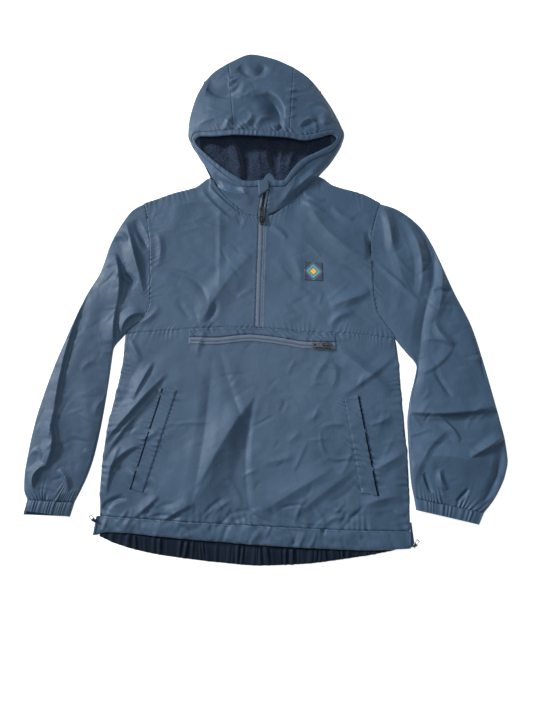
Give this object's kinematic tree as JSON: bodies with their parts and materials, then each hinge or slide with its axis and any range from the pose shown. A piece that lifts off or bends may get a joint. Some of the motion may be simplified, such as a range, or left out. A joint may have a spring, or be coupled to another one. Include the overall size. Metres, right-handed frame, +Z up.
{
  "type": "anorak pullover",
  "caption": "Hooded pullover rain jacket with a half zip and a chest pocket, laid out flat on its back with the hood open.",
  "frame": {"origin": "on the surface it lies on, under the middle of the laid-out garment's bounding box", "axes": "+Y from the hem to the top of the hood, +Z up off the surface towards the garment's front, +X to the wearer's left"},
  "size_m": [0.7557, 0.8736, 0.0365],
  "materials": {
    "shell": "thin woven nylon with a soft sheen",
    "lining": "deep-pile fleece",
    "zip_tape": "reversed coil zip on woven tape",
    "hardware": "painted, dark",
    "wire": "bent wire",
    "label": "woven"
  },
  "bodies": {
    "garment": {"back": "shell", "hem_back": "shell", "hood_back": "shell", "front_upper_r": "shell", "front_upper_l": "shell", "front_lower": "shell", "hem_front": "shell", "sleeve_r": "shell", "sleeve_l": "shell", "cuff_r": "shell", "cuff_l": "shell", "hood_side_r": "shell", "hood_centre": "shell", "hood_side_l": "shell", "hood_casing": "shell", "pocket_welt_r": "shell", "pocket_welt_l": "shell", "pocket_band": "shell", "zip_guard": "shell", "zip_flap": "shell", "side_zip_r": "shell", "side_zip_l": "shell", "hood_lining": "lining", "zip_front": "zip_tape", "zip_pocket": "zip_tape", "slider_front": "hardware", "slider_pocket": "hardware", "slider_side_r": "hardware", "slider_side_l": "hardware", "label": "label"},
    "front_pull": {"pull_front": "hardware"},
    "pocket_pull": {"pull_pocket": "hardware"},
    "side_r_pull": {"pull_side_r": "wire"},
    "side_l_pull": {"pull_side_l": "wire"}
  },
  "joints": [
    {"name": "front_pull_swing", "type": "hinge", "parent": "garment", "child": "front_pull", "pos_m": [-0.0085, 0.117, 0.0139], "axis": [1, 0, 0], "range_deg": [0, 150]},
    {"name": "pocket_pull_swing", "type": "hinge", "parent": "garment", "child": "pocket_pull", "pos_m": [0.0955, -0.0977, 0.01562], "axis": [0, 1, 0], "range_deg": [0, 150]},
    {"name": "side_r_pull_swing", "type": "hinge", "parent": "garment", "child": "side_r_pull", "pos_m": [-0.2649, -0.3695, 0.0098], "axis": [0.7648, 0.6442, 0], "range_deg": [0, 150]},
    {"name": "side_l_pull_swing", "type": "hinge", "parent": "garment", "child": "side_l_pull", "pos_m": [0.2249, -0.4065, 0.0098], "axis": [0.8253, -0.5646, 0], "range_deg": [0, 150]}
  ]
}
